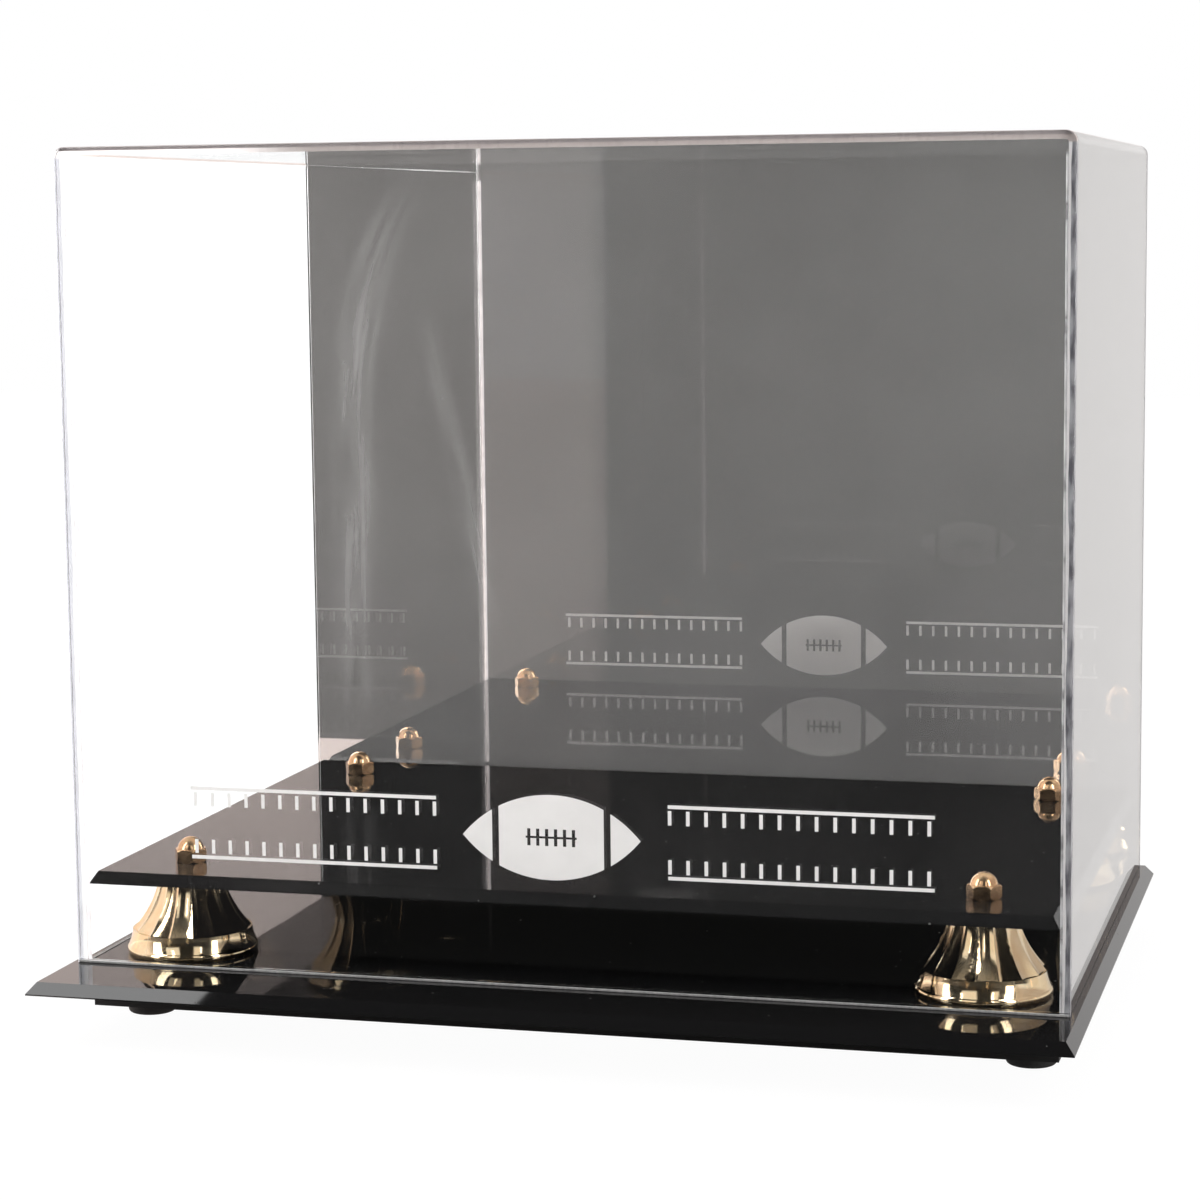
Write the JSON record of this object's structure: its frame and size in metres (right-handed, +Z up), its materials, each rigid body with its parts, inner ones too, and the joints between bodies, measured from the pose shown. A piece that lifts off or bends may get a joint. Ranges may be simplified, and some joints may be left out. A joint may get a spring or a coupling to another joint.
{
  "type": "football display case",
  "caption": "Clear lift-off display case with a mirror back, over a black platform raised on fluted gold bell risers, on a bevelled black base.",
  "frame": {"origin": "on the table, under the middle of the base's footprint", "axes": "+X along the case's width to the right, +Y to the mirror back, +Z up"},
  "size_m": [0.381, 0.298, 0.3272],
  "materials": {
    "clear_acrylic": "clear, polished sheet",
    "mirror_acrylic": "silvered behind, grey-coated back",
    "black_acrylic": "deep black, polished",
    "black_board": "black-painted board",
    "gold_riser": "bright gold plating",
    "brass_nut": "polished brass",
    "steel_screw": "zinc-plated steel",
    "rubber_foot": "matt black rubber",
    "white_print": "screen-printed white"
  },
  "bodies": {
    "base": {"base_plate": "black_acrylic", "under_board": "black_board", "platform": "black_acrylic", "riser_screws": "steel_screw", "cap_nuts": "brass_nut", "foot_screws": "steel_screw", "riser_front_left": "gold_riser", "foot_front_left": "rubber_foot", "riser_front_right": "gold_riser", "foot_front_right": "rubber_foot", "riser_back_left": "gold_riser", "foot_back_left": "rubber_foot", "riser_back_right": "gold_riser", "foot_back_right": "rubber_foot"},
    "cover": {"front_panel": "clear_acrylic", "bent_wrap": "clear_acrylic", "mirror_panel": "mirror_acrylic"}
  },
  "joints": [
    {"name": "cover_lift", "type": "slide", "parent": "base", "child": "cover", "axis": [0, 0, 1], "range_m": [0, 0.3]}
  ]
}
